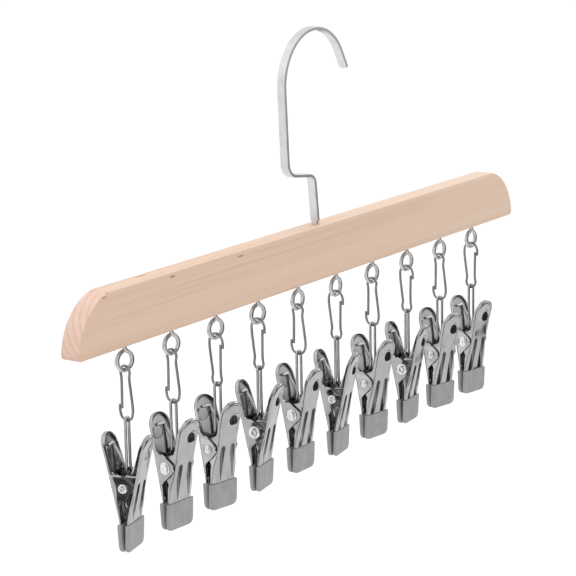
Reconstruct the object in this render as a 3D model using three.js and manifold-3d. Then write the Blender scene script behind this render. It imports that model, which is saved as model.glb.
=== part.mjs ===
// Belt hanger: a wooden bar on a swivelling flat steel hook, with a row of screw eyes under it.
// A wire snap link hangs from each eye, and a sprung steel clip with sleeved tips from each link.
// Millimetres, +Z up, +X along the bar. The origin is where a wardrobe rod bears inside the hook.
import * as THREE from "three";
import { mergeVertices } from "three/addons/utils/BufferGeometryUtils.js";
import Module from "manifold-3d";

const wasm = await Module();
wasm.setup();

const DEGREE = Math.PI / 180;

// Running gap between pieces that bear or turn on one another.
const fit = 0.3;

// Wooden bar. Its ends are arcs about its lower edge, a little larger than its height.
const barLength = 352;
const barHeight = 25;
const barThickness = 9.5;
const barEase = 0.8;
const endOvershoot = 0.5;

// Row of hanging units, with the turn of each eye and each clip about the vertical, in degrees.
const endMargin = 34.25;
const eyeTurns = [-6, -4, -3, -4, 4, 5, -3, -2, -3, 2];
const clipTurns = [14, -3, -9, 13, 1, 13, -6, 7, -12, -10];
// Whether each link hangs with its latch end up.
const latchUp = [false, false, true, true, false, true, false, true, false, true];

// Hook of flat strip, bent in the plane of the bar.
const stripWidth = 4.2;
const stripThickness = 1.6;
const stemLean = 6;
const stemRise = 24.2;
const stemBend = 5;
const jogReach = 20.6;
const jogRise = 2.8;
const jogBend = 6.5;
const longRun = 37;
const longLean = 2.4;
const crownRadius = 24.6;
const crownEnd = 29;
const tipLength = 9;
const stripTang = 1.5;

// Swivel of the hook: a round shank through the bar, headed over a washer in a counterbore.
const shankDiameter = 4.4;
const headLand = 0.6;
const headThickness = 1.4;
const washerLand = 0.9;
const washerThickness = 0.8;
const counterboreDepth = 3.5;

// Screw eyes.
const eyeWire = 1.8;
const eyeHole = 5.6;
const eyeDrop = 7.6;
const eyeThread = 12;

// Snap links, of one wire. Widths are between wire centres.
const linkWire = 1.1;
const linkSpan = 23.3;
const linkWide = 7.3;
const linkNarrow = 5.2;
const linkWaist = 4.5;
const gateRise = 4.9;
const catchOverlap = 1.4;
const latchGap = 0.5;

// Clip spring, of one wire: bail, two coils on the rivet and two legs.
const springWire = 1.05;
const coilGap = 0.5;
const coilTurns = 1.5;
const coilPlay = 0.8;
const bailHeight = 29;
const bailWidth = 3.4;
const bailStraight = 9;
const legBelowTop = 5;
const legInset = 1.2;
const legHook = 4.2;
const legStandoff = 0.8;

// Clip jaws, stamped from sheet. Offsets are from the rivet's axis to the outer face.
const sheet = 0.7;
const flangeDepth = 2.0;
const tipFlange = 1.0;
const tipOffset = 1.75;
const sleevedOffset = 2.25;
const neckOffset = 5.5;
const kneeOffset = 7.7;
const kneeRise = 11;
const handleOffset = 10.5;
const handleRise = 22;
const handleWidth = 11;
const tipWidth = 14;
const shoulderRise = 7;
const flareTop = 3;
const flareDrop = 8.5;
const jawDrop = 27.4;
const earTop = 6.3;
const earSlope = 2.1;
const earBlunt = 5;
const earReach = 4.9;
const earDrop = 7.3;
const innerEarRadius = 3.0;

// Rivet and the plastic sleeves on the jaw tips.
const rivetDiameter = 2.4;
const rivetHead = 4.6;
const rivetCrown = 3.0;
const rivetDome = 1.0;
const sleeveWall = 0.5;
const sleeveSkin = 0.35;
const sleeveHeight = 12.1;
const sleeveCorner = 1.6;
const matingGap = 0.5;
const matingSpread = 0.6;

// Fineness of the round forms.
const wireSides = 5;
const coilSteps = 8;
const ringSteps = 14;
const bendSteps = 6;
const roundSides = 8;
const profileSteps = 7;
const outlineSteps = 4;

// Radii about the hook's axis, worked outwards from whichever of shank and strip is the wider.
const tangLean = stripTang * Math.tan(stemLean * DEGREE);
const stripReach = Math.hypot(stripWidth / 2, stripThickness / 2 + tangLean);
const boreRadius = Math.max(shankDiameter / 2, stripReach) + fit;
const washerRadius = boreRadius + washerLand;
const washerHole = shankDiameter / 2 + fit;
const headRadius = washerHole + headLand;

// Widths across a clip, worked outwards from the coil stack to the outer ears.
const coilPitch = springWire + coilGap;
const coilRadius = (rivetDiameter + coilPlay + springWire) / 2;
const legPlace = bailWidth / 2 + coilTurns * coilPitch;
const innerEarInside = legPlace + springWire / 2 + fit + fit / 2;
const frontHalf = innerEarInside + sheet;
const rearHalf = frontHalf + fit + sheet;
const handleHalf = handleWidth / 2;

// Heights in a hanging unit, below the underside of the bar.
const eyeRadius = (eyeHole + eyeWire) / 2;
const linkTop = -eyeDrop - eyeRadius + eyeWire / 2 + fit + linkWire / 2;
const linkBottom = linkTop - linkSpan;
const bailTop = linkBottom + linkWire / 2 + fit + springWire / 2;
const pivotDrop = bailTop - bailHeight;
const legRise = handleRise - legBelowTop;

// A closed three.js geometry as a solid that can be joined and cut.
function solid(geometry) {
  const bare = new THREE.BufferGeometry().setAttribute("position", geometry.getAttribute("position"));
  if (geometry.index) bare.setIndex(geometry.index);
  const merged = mergeVertices(bare, 1e-4);
  const triVerts = new Uint32Array(merged.index.array);
  const vertProperties = merged.attributes.position.array;
  return new wasm.Manifold(new wasm.Mesh({ numProp: 3, vertProperties, triVerts }));
}

// A solid as a three.js geometry.
function geometryOf(made) {
  const mesh = made.getMesh();
  const geometry = new THREE.BufferGeometry();
  geometry.setAttribute("position", new THREE.BufferAttribute(mesh.vertProperties, 3));
  geometry.setIndex(new THREE.BufferAttribute(mesh.triVerts, 1));
  geometry.computeVertexNormals();
  return geometry;
}

// A round bar along Z from one height to another, with its own radius at each end.
function post(lowRadius, highRadius, low, high, sides = roundSides) {
  const geometry = new THREE.CylinderGeometry(highRadius, lowRadius, high - low, sides);
  return geometry.rotateX(Math.PI / 2).translate(0, 0, (low + high) / 2);
}

// A shape drawn in (Y, Z), extruded along X.
function plateAcrossX(shape, from, to) {
  const options = { depth: to - from, bevelEnabled: false, curveSegments: outlineSteps };
  const turn = new THREE.Matrix4().makeBasis(
    new THREE.Vector3(0, 1, 0),
    new THREE.Vector3(0, 0, 1),
    new THREE.Vector3(1, 0, 0),
  );
  return new THREE.ExtrudeGeometry(shape, options).applyMatrix4(turn).translate(from, 0, 0);
}

// A shape drawn in (X, Z), extruded along Y.
function plateAcrossY(shape, from, to, bevel = 0) {
  const options = {
    depth: to - from - 2 * bevel,
    bevelEnabled: bevel > 0,
    bevelThickness: bevel,
    bevelSize: bevel,
    bevelOffset: -bevel,
    bevelSegments: 1,
    curveSegments: outlineSteps,
  };
  const turn = new THREE.Matrix4().makeBasis(
    new THREE.Vector3(1, 0, 0),
    new THREE.Vector3(0, 0, 1),
    new THREE.Vector3(0, -1, 0),
  );
  return new THREE.ExtrudeGeometry(shape, options).applyMatrix4(turn).translate(0, to - bevel, 0);
}

function shapeOf(points) {
  return new THREE.Shape(points.map(([x, y]) => new THREE.Vector2(x, y)));
}

// A section carried along a path without twist, with flat ends.
// The section's first axis starts along firstNormal.
function sweep(path, section, firstNormal) {
  const count = section.length;
  const positions = [];
  const index = [];
  const tangents = path.map((point, i) => {
    const before = path[Math.max(i - 1, 0)];
    const after = path[Math.min(i + 1, path.length - 1)];
    return after.clone().sub(before).normalize();
  });
  const normal = firstNormal.clone();
  path.forEach((point, i) => {
    if (i > 0) {
      normal.applyQuaternion(new THREE.Quaternion().setFromUnitVectors(tangents[i - 1], tangents[i]));
    }
    normal.addScaledVector(tangents[i], -normal.dot(tangents[i])).normalize();
    const side = tangents[i].clone().cross(normal);
    for (const [a, b] of section) {
      const corner = point.clone().addScaledVector(normal, a).addScaledVector(side, b);
      positions.push(corner.x, corner.y, corner.z);
    }
  });
  for (let i = 0; i + 1 < path.length; i++) {
    for (let j = 0; j < count; j++) {
      const here = i * count + j;
      const next = i * count + ((j + 1) % count);
      index.push(here, next, here + count, next, next + count, here + count);
    }
  }
  const last = (path.length - 1) * count;
  for (let j = 1; j + 1 < count; j++) {
    index.push(0, j + 1, j);
    index.push(last, last + j, last + j + 1);
  }
  const geometry = new THREE.BufferGeometry();
  geometry.setAttribute("position", new THREE.BufferAttribute(new Float32Array(positions), 3));
  geometry.setIndex(index);
  geometry.computeVertexNormals();
  return geometry;
}

// A regular polygon whose area matches a round wire's.
function wireSection(diameter) {
  const area = (wireSides / 2) * Math.sin((2 * Math.PI) / wireSides);
  const radius = (diameter / 2) * Math.sqrt(Math.PI / area);
  return Array.from({ length: wireSides }, (_, i) => {
    const angle = (2 * Math.PI * i) / wireSides;
    return [radius * Math.cos(angle), radius * Math.sin(angle)];
  });
}

// The least gap of a wire to itself, measured between points of its path that aren't near along it.
function leastGap(path, wire) {
  const along = [0];
  for (let i = 1; i < path.length; i++) along.push(along[i - 1] + path[i].distanceTo(path[i - 1]));
  let least = Infinity;
  for (let i = 0; i < path.length; i++) {
    for (let j = i + 1; j < path.length; j++) {
      if (along[j] - along[i] > 4 * wire) least = Math.min(least, path[i].distanceTo(path[j]) - wire);
    }
  }
  return least;
}

// Bar, with the bore and counterbore of the hook and a pilot hole for each eye. Its top is at zero.
function barGeometry(unitPlaces) {
  const radius = barHeight + endOvershoot;
  const topAngle = Math.asin(barHeight / radius);
  const arcPlace = barLength / 2 - radius;
  const shape = new THREE.Shape();
  shape.absarc(arcPlace, -barHeight, radius, 0, topAngle, false);
  shape.absarc(-arcPlace, -barHeight, radius, Math.PI - topAngle, Math.PI, false);
  const counterbore = washerRadius + fit;
  let bar = solid(plateAcrossY(shape, -barThickness / 2, barThickness / 2, barEase));
  bar = bar.subtract(solid(post(boreRadius, boreRadius, -barHeight - 1, 1)));
  bar = bar.subtract(solid(post(counterbore, counterbore, -barHeight - 1, -barHeight + counterboreDepth)));
  const pilot = eyeWire / 2 + fit;
  for (const place of unitPlaces) {
    const hole = post(pilot, pilot, -barHeight - 1, -barHeight + eyeThread + fit);
    bar = bar.subtract(solid(hole.translate(place, 0, 0)));
  }
  return geometryOf(bar);
}

// Centre line of the hook's strip in the plane of the bar, from the tang up to the tip.
function hookLine() {
  const stemTop = new THREE.Vector2(-stemRise * Math.tan(stemLean * DEGREE), stemRise);
  const jogEnd = new THREE.Vector2(stemTop.x - jogReach, stemTop.y + jogRise);
  const lean = longLean * DEGREE;
  const longEnd = new THREE.Vector2(jogEnd.x - longRun * Math.tan(lean), jogEnd.y + longRun);
  const foot = new THREE.Vector2(tangLean, -stripTang);
  const points = [foot];
  addBend(points, foot, stemTop, jogEnd, stemBend);
  addBend(points, stemTop, jogEnd, longEnd, jogBend);
  const centre = new THREE.Vector2(
    longEnd.x + crownRadius * Math.cos(lean),
    longEnd.y + crownRadius * Math.sin(lean),
  );
  const start = Math.PI + lean;
  const end = crownEnd * DEGREE;
  const steps = 2 * ringSteps;
  for (let i = 0; i <= steps; i++) {
    const angle = start + ((end - start) * i) / steps;
    points.push(
      new THREE.Vector2(
        centre.x + crownRadius * Math.cos(angle),
        centre.y + crownRadius * Math.sin(angle),
      ),
    );
  }
  const last = points[points.length - 1];
  points.push(
    new THREE.Vector2(last.x + tipLength * Math.sin(end), last.y - tipLength * Math.cos(end)),
  );
  return { points, seatHeight: centre.y + crownRadius - stripThickness / 2 };
}

// A round bend at a corner of a line: the arc's points, from where it leaves one leg to where it meets the next.
function addBend(points, before, corner, after, radius) {
  const toBefore = before.clone().sub(corner).normalize();
  const toAfter = after.clone().sub(corner).normalize();
  const half = Math.acos(toBefore.dot(toAfter)) / 2;
  const middle = toBefore.clone().add(toAfter).normalize();
  const centre = corner.clone().addScaledVector(middle, radius / Math.sin(half));
  const from = corner.clone().addScaledVector(toBefore, radius / Math.tan(half)).sub(centre);
  const to = corner.clone().addScaledVector(toAfter, radius / Math.tan(half)).sub(centre);
  const turn = Math.atan2(from.cross(to), from.dot(to));
  for (let i = 0; i <= bendSteps; i++) {
    const spoke = from.clone().rotateAround(new THREE.Vector2(), (turn * i) / bendSteps);
    points.push(spoke.add(centre));
  }
}

// Hook: the bent strip, and under it the round shank with its formed head.
function hookGeometry(line) {
  const path = line.map((point) => new THREE.Vector3(point.x, 0, point.y));
  const a = stripThickness / 2;
  const b = stripWidth / 2;
  const section = [[-a, -b], [a, -b], [a, b], [-a, b]];
  const strip = solid(sweep(path, section, new THREE.Vector3(1, 0, 0)));
  const headTop = -barHeight + counterboreDepth - washerThickness - 2 * fit;
  const shank = solid(post(shankDiameter / 2, shankDiameter / 2, headTop - headThickness / 2, 0));
  const head = solid(post(headRadius, headRadius, headTop - headThickness, headTop));
  return geometryOf(strip.add(shank).add(head));
}

function washerGeometry() {
  const top = -barHeight + counterboreDepth - fit;
  const disc = solid(post(washerRadius, washerRadius, top - washerThickness, top));
  return geometryOf(disc.subtract(solid(post(washerHole, washerHole, top - washerThickness - 1, top + 1))));
}

// Screw eye: a ring in the plane of the bar under a pointed shank. The underside of the bar is at zero.
function eyeGeometry() {
  const ring = new THREE.TorusGeometry(eyeRadius, eyeWire / 2, wireSides + 1, ringSteps);
  ring.rotateX(Math.PI / 2).translate(0, 0, -eyeDrop);
  const point = eyeThread - eyeWire;
  const shank = post(eyeWire / 2, eyeWire / 2, -eyeDrop + eyeRadius, point, wireSides + 1);
  const tip = post(eyeWire / 2, eyeWire / 8, point, eyeThread, wireSides + 1);
  return geometryOf(solid(ring).add(solid(shank)).add(solid(tip)));
}

// Centre line of a snap link, hanging with its latch end down and its gate towards +Y.
// It runs from the catch round the wide end, up the fixed side, over the narrow end and down the gate.
function linkPath() {
  const wide = linkWide / 2;
  const narrow = linkNarrow / 2;
  const waist = linkWaist / 2;
  const gate = wide - linkWire - latchGap;
  const shoulder = linkSpan - narrow;
  const corners = [
    [wide, gateRise + catchOverlap],
    [wide, wide],
    [wide * Math.SQRT1_2, wide * (1 - Math.SQRT1_2)],
    [0, 0],
    [-wide * Math.SQRT1_2, wide * (1 - Math.SQRT1_2)],
    [-wide, wide],
    [-(wide + waist) / 2, (wide + shoulder) / 2],
    [-waist, shoulder - narrow],
    [-narrow, shoulder],
    [-narrow * Math.SQRT1_2, linkSpan - narrow * (1 - Math.SQRT1_2)],
    [0, linkSpan],
    [narrow * Math.SQRT1_2, linkSpan - narrow * (1 - Math.SQRT1_2)],
    [narrow, shoulder],
    [waist, shoulder - narrow],
    [gate, gateRise],
  ];
  const curve = new THREE.CatmullRomCurve3(corners.map(([y, z]) => new THREE.Vector3(0, y, z)));
  return curve.getPoints(2 * (corners.length - 1));
}

// The link's geometry, with its top wire at the height where it bears on the eye.
function linkGeometry(path, turnedOver) {
  const geometry = sweep(path, wireSection(linkWire), new THREE.Vector3(1, 0, 0));
  if (turnedOver) geometry.rotateX(Math.PI).translate(0, 0, linkSpan);
  return geometry.translate(0, 0, linkBottom);
}

// The outer face of the rear jaw in side view, from the tip up, as (distance from the rivet's axis, height).
const sleeveTop = -jawDrop - sleeveWall + sleeveHeight;
const faceLine = new THREE.SplineCurve([
  new THREE.Vector2(tipOffset, -jawDrop),
  new THREE.Vector2(sleevedOffset, sleeveTop),
  new THREE.Vector2(neckOffset, 0),
  new THREE.Vector2(kneeOffset, kneeRise),
  new THREE.Vector2(handleOffset, handleRise),
]).getPoints(profileSteps);

// How far the outer face lies from the rivet's axis at a height.
function faceAt(height) {
  const above = faceLine.findIndex((point, i) => i > 0 && point.y >= height);
  const high = faceLine[above];
  const low = faceLine[above - 1];
  return low.x + ((high.x - low.x) * (height - low.y)) / (high.y - low.y);
}

// How deep the flange reaches behind the outer face at a height: it runs out towards the sleeved tip.
function flangeAt(height) {
  const share = THREE.MathUtils.clamp((height - sleeveTop) / (-flareDrop - sleeveTop), 0, 1);
  return tipFlange + (flangeDepth - tipFlange) * share;
}

// Side view of a jaw between a depth behind the outer face and the edge of the flange, or past that edge.
function sideShape(outer, past = 0) {
  const front = faceLine.map((point) => [point.x - outer, point.y]);
  const back = faceLine.map((point) => [point.x - flangeAt(point.y) - past, point.y]);
  return shapeOf(front.concat(back.reverse()));
}

// Front view of a jaw, drawn in from its edge by an inset.
function frontShape(waistHalf, inset) {
  const waist = waistHalf - inset;
  const tip = tipWidth / 2 - inset;
  const round = handleHalf - inset;
  const roundPlace = handleRise - handleHalf;
  const end = -jawDrop + inset;
  const shape = new THREE.Shape();
  shape.moveTo(-tip, end + sleeveCorner);
  shape.lineTo(-tip + sleeveCorner, end);
  shape.lineTo(tip - sleeveCorner, end);
  shape.lineTo(tip, end + sleeveCorner);
  shape.lineTo(tip, -flareDrop);
  shape.lineTo(waist, -flareTop);
  shape.lineTo(waist, shoulderRise);
  shape.absarc(0, roundPlace, round, 0, Math.PI, false);
  shape.lineTo(-waist, shoulderRise);
  shape.lineTo(-waist, -flareTop);
  shape.lineTo(-tip, -flareDrop);
  return shape;
}

// The dished sheet of a jaw: its face, with a flange all round.
function panSolid(waistHalf) {
  const reach = handleOffset + 1;
  const whole = solid(plateAcrossY(frontShape(waistHalf, 0), -reach, reach));
  const inside = solid(plateAcrossY(frontShape(waistHalf, sheet), -reach, reach));
  const body = solid(plateAcrossX(sideShape(0), -reach, reach));
  const dish = solid(plateAcrossX(sideShape(sheet, 1), -reach, reach));
  return whole.intersect(body).subtract(inside.intersect(dish));
}

// Plastic sleeve over a jaw's tip. The two sleeves of a clip stand further apart at their tops.
function sleeveSolid() {
  const half = tipWidth / 2 + sleeveWall;
  const bottom = sleeveTop - sleeveHeight;
  const side = shapeOf([
    [matingGap / 2, bottom],
    [tipOffset + sleeveSkin, bottom],
    [sleevedOffset + sleeveSkin, sleeveTop],
    [matingGap / 2 + matingSpread, sleeveTop],
  ]);
  const shape = new THREE.Shape();
  shape.moveTo(half, sleeveTop);
  shape.lineTo(-half, sleeveTop);
  shape.lineTo(-half, bottom + sleeveCorner);
  shape.lineTo(-half + sleeveCorner, bottom);
  shape.lineTo(half - sleeveCorner, bottom);
  shape.lineTo(half, bottom + sleeveCorner);
  const reach = sleevedOffset + 1;
  return solid(plateAcrossY(shape, 0, reach)).intersect(solid(plateAcrossX(side, -half - 1, half + 1)));
}

// The same plate at both sides of a jaw.
function pairAcross(shape, inside, outside) {
  const right = solid(plateAcrossX(shape, inside, outside));
  return right.add(solid(plateAcrossX(shape, -outside, -inside)));
}

// Rear jaw: its ears lie outside, and the rivet is clenched in them. The rivet's axis is X through the origin.
function rearJawGeometry() {
  const ear = shapeOf([
    [faceAt(earTop) - sheet / 2, earTop],
    [-earReach, earTop - earSlope],
    [-earReach, earTop - earSlope - earBlunt],
    [faceAt(-earDrop) - flangeAt(-earDrop), -earDrop],
    [faceAt(-earDrop) - sheet / 2, -earDrop],
  ]);
  const pin = post(rivetDiameter / 2, rivetDiameter / 2, -rearHalf + sheet / 2, rearHalf - sheet / 2);
  const head = post(rivetHead / 2, rivetCrown / 2, rearHalf - sheet / 2, rearHalf + rivetDome);
  const otherHead = head.clone().rotateX(Math.PI);
  let jaw = panSolid(rearHalf).add(sleeveSolid());
  jaw = jaw.add(pairAcross(ear, rearHalf - sheet, rearHalf));
  for (const piece of [pin, head, otherHead]) jaw = jaw.add(solid(piece.rotateY(Math.PI / 2)));
  return geometryOf(jaw);
}

// Front jaw: its ears lie inside those of the rear jaw and turn on the rivet.
function frontJawGeometry() {
  const ear = new THREE.Shape();
  ear.moveTo(faceAt(innerEarRadius) - sheet / 2, innerEarRadius);
  ear.absarc(0, 0, innerEarRadius, Math.PI / 2, 1.5 * Math.PI, false);
  ear.lineTo(faceAt(-earDrop) - sheet / 2, -earDrop);
  const hole = rivetDiameter / 2 + fit;
  const bore = solid(post(hole, hole, -rearHalf, rearHalf).rotateY(Math.PI / 2));
  let jaw = panSolid(frontHalf).add(sleeveSolid());
  jaw = jaw.add(pairAcross(ear, innerEarInside, frontHalf)).subtract(bore);
  return geometryOf(jaw).rotateZ(Math.PI);
}

// Half of the spring's centre line, from the top of the bail to the end of the rear leg.
function halfSpringPath() {
  const half = bailWidth / 2;
  const points = [];
  const add = (x, y, z) => points.push(new THREE.Vector3(x, y, z));
  const loopSteps = 3;
  for (let i = 0; i <= loopSteps; i++) {
    const angle = ((Math.PI / 2) * i) / loopSteps;
    add(half * Math.sin(angle), 0, bailHeight - half * (1 - Math.cos(angle)));
  }
  const crossSteps = 4;
  for (let i = 0; i < crossSteps; i++) {
    const share = i / crossSteps;
    const eased = share * share * (3 - 2 * share);
    add(half, -coilRadius * eased, bailStraight * (1 - share));
  }
  const steps = coilTurns * coilSteps;
  for (let i = 0; i <= steps; i++) {
    const angle = Math.PI + (2 * Math.PI * i) / coilSteps;
    add(half + (coilPitch * i) / coilSteps, coilRadius * Math.cos(angle), coilRadius * Math.sin(angle));
  }
  const legAt = (height) => faceAt(height) - sheet - fit - springWire / 2;
  const legTop = legPlace - legInset;
  add((legPlace + legTop) / 2, legAt(kneeRise) - legStandoff, kneeRise);
  add(legTop, legAt(legRise - springWire), legRise - springWire);
  add(legTop - springWire, legAt(legRise), legRise);
  add(legTop - legHook, legAt(legRise), legRise);
  return points;
}

// Whole spring: the two halves are alike under a half turn about the vertical.
function springPath() {
  const rear = halfSpringPath();
  const front = rear.slice(1).map((point) => new THREE.Vector3(-point.x, -point.y, point.z));
  return front.reverse().concat(rear);
}

// Materials.
const wood = () => new THREE.MeshStandardMaterial({ color: 0xe3c4a2, roughness: 0.6, metalness: 0 });
const strip = () => new THREE.MeshStandardMaterial({ color: 0xc4c6c6, roughness: 0.35, metalness: 1 });
const wire = () => new THREE.MeshStandardMaterial({ color: 0x9b9894, roughness: 0.25, metalness: 1 });
const bright = () => new THREE.MeshStandardMaterial({ color: 0xa9a9ab, roughness: 0.18, metalness: 1 });

function named(name, geometry, material) {
  const mesh = new THREE.Mesh(geometry, material);
  mesh.name = name;
  return mesh;
}

// Assembly. Inside the hanger group, zero is the middle of the bar's top.
const unitPitch = (barLength - 2 * endMargin) / (eyeTurns.length - 1);
const unitPlaces = eyeTurns.map((_, i) => (i - (eyeTurns.length - 1) / 2) * unitPitch);
const { points: stripLine, seatHeight } = hookLine();
const hanger = new THREE.Group();
hanger.position.z = -seatHeight;
hanger.add(named("bar", barGeometry(unitPlaces), wood()));
hanger.add(named("hook", hookGeometry(stripLine), strip()));
hanger.add(named("hook_washer", washerGeometry(), strip()));

const linkLine = linkPath();
const springLine = springPath();
console.log("spring's least gap to itself", leastGap(springLine, springWire).toFixed(2), "mm");
console.log("link's least gap to itself", leastGap(linkLine, linkWire).toFixed(2), "mm");
const springForm = sweep(springLine, wireSection(springWire), new THREE.Vector3(0, 1, 0));

unitPlaces.forEach((place, i) => {
  const number = String(i + 1).padStart(2, "0");
  const unit = new THREE.Group();
  unit.position.set(place, 0, -barHeight);
  unit.rotation.z = eyeTurns[i] * DEGREE;
  unit.add(named("screw_eye_" + number, eyeGeometry(), wire()));
  unit.add(named("snap_link_" + number, linkGeometry(linkLine, latchUp[i]), wire()));
  const clip = new THREE.Group();
  clip.position.z = pivotDrop;
  clip.rotation.z = (clipTurns[i] - eyeTurns[i]) * DEGREE;
  clip.add(named("clip_spring_" + number, springForm.clone(), wire()));
  clip.add(named("rear_jaw_" + number, rearJawGeometry(), bright()));
  clip.add(named("front_jaw_" + number, frontJawGeometry(), bright()));
  unit.add(clip);
  hanger.add(unit);
});

const part = new THREE.Group();
part.add(hanger);

export default part;
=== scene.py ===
"""Looks of the belt hanger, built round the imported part. Metres, +Z up, +X along the bar."""
from math import acos, asin, atan2, cos, exp, hypot, pi, radians as rad, sin, sqrt, tan

import bpy
import numpy as np
from mathutils import Matrix, Vector


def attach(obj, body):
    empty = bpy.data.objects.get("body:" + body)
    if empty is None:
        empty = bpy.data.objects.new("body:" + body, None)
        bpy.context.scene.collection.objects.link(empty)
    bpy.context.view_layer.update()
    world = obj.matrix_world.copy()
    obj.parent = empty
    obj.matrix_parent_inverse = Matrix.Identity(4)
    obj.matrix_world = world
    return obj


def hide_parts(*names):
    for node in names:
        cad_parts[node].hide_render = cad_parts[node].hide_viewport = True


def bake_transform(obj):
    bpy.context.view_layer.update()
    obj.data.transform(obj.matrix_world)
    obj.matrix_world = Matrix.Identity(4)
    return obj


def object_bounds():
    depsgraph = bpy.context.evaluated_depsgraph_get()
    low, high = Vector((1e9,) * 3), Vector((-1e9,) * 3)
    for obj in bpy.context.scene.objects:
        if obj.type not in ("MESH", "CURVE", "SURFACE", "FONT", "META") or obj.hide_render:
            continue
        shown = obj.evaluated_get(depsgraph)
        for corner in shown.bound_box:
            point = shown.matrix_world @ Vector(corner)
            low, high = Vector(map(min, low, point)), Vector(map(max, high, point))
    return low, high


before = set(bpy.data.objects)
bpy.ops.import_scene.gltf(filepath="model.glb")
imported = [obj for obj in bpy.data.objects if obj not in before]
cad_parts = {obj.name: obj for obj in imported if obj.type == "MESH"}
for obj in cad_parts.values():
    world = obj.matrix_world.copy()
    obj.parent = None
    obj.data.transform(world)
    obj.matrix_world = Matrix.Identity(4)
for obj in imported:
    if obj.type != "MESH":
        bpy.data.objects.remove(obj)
cad_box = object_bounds()

MM = 0.001

# Sizes are in millimetres and turns in degrees, mostly as in the part's source.
# The top of the bar lies this far below the place where a rod bears in the hook.
SEAT = 88.83014
# Running gap between pieces that turn on one another.
FIT = 0.3

# Bar. Its ends are arcs, which ease into the top over a small angle in radians and a short run.
BAR_LENGTH = 352
BAR_HEIGHT = 25
BAR_THICKNESS = 9.5
BAR_EASE = 0.45
END_OVERSHOOT = 0.5
END_CORNER = 1.7
SHOULDER_ANGLE = 0.03
SHOULDER_RUN = 0.8
UNDER = -SEAT - BAR_HEIGHT

# Hanging units: the turn of each eye and clip about the vertical, whether each link has its latch end up, and
# whether each rivet has its small end towards -X.
PITCH = 31.5
EYE_TURNS = [-6, -4, -3, -4, 4, 5, -3, -2, -3, 2]
CLIP_TURNS = [14, -4, -10, 11, 0, 10.5, -7, 7, -12, -10]
LATCH_UP = [False, False, True, True, False, True, False, True, False, True]
RIVET_TURNED = [True, False, True, False, False, True, True, False, True, False]
UNITS = len(EYE_TURNS)

# Hook of flat strip.
STRIP_WIDTH = 4.2
STRIP_THICKNESS = 1.6
STRIP_EDGE = 0.34
STRIP_END = 0.7
STRIP_FOOT = 1.4
STEM_LEAN = 6
STEM_RISE = 23.1
STEM_BEND = 5
JOG_REACH = 20.6
JOG_RISE = 2.8
JOG_BEND = 6.5
LONG_RUN = 38.1
LONG_LEAN = 2.4
CROWN_RADIUS = 24.6
CROWN_END = 29
TIP_LENGTH = 9

# Swivel of the hook: radii, and heights from the top of the bar.
SHANK = 1.75
BORE = 2.0
HEAD = 3.1
HEAD_THICKNESS = 1.4
WASHER = 3.508
WASHER_HOLE = 2.5
WASHER_TOP = -21.8
WASHER_THICKNESS = 0.8
WASHER_EDGE = 0.12
COUNTERBORE = 3.808
COUNTERBORE_DEPTH = 3.5

# Screw eyes: the neck as (across, height) points, and the angles at which the ring starts and ends.
EYE_WIRE = 1.95
EYE_RADIUS = 4.05
EYE_DROP = 7.35
EYE_THREAD = 12
EYE_POINT = 1.4
EYE_NECK = [(0, 6), (0, 1), (0, -0.5), (0.08, -1.5), (0.55, -2.65)]
EYE_ARC = (66, -259)
EYE_TWIST = -5

# Snap links. Widths are between wire centres.
LINK_WIRE = 1.15
LINK_SPAN = 23.3
LINK_WIDE = 7.3
LINK_NARROW = 5.2
LINK_WAIST = 4.5
LINK_BOTTOM = -32.85
GATE_RISE = 4.9
CATCH_OVERLAP = 1.4
LATCH_GAP = 0.05

# Clip springs, round the rivet's axis at the pivot.
PIVOT = -60.475
SPRING_WIRE = 1.25
COIL_PITCH = 1.5
COIL_TURNS = 1.5
COIL_RADIUS = 2.125
BAIL_HEIGHT = 29
BAIL_WIDTH = 3.5
BAIL_STRAIGHT = 9
LEG_PLACE = 4.025
LEG_INSET = 1.2
LEG_HOOK = 4.2
LEG_STANDOFF = 0.8
LEG_MIDDLE = 11
LEG_RISE = 17

# Clip jaws, from the pivot. The outer face is given as (distance, height) points.
SHEET = 0.7
FLANGE = 2.0
TIP_FLANGE = 1.0
FACE_POINTS = [(1.75, -27.4), (2.25, -15.8), (5.5, 0), (7.8, 11), (10.9, 22)]
JAW_DROP = 27.4
BELOW_JAW = -28
ABOVE_JAW = 23
JAW_HALF = {"rear": 6.7, "front": 5.7}
TIP_HALF = 7.0
FLARE_HALF = 6.95
FLARE_LOW = -8.5
FLARE_TOP = -3
SHOULDER_RISE = 7
HANDLE_RISE = 22
HANDLE_HALF = 6.0
ROUND_PLACE = HANDLE_RISE - HANDLE_HALF
SIDE_SOFTNESS = 1.6
CORNER = 1.0

# Ears on the jaws' flanges. The inner ears are given as (height, reach) points.
EAR_TOPS = {"rear": 6.3, "front": 7.0}
EAR_SLOPE = 4.6
EAR_BLUNT = 2.6
EAR_REACH = 4.6
EAR_DROP = 7.3
EAR_BLEND = 1.2
EAR_SOFTNESS = 1.3
INNER_EAR = [(-2.2, -2.4), (1.4, -3.0), (3.4, -1.2)]

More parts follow.
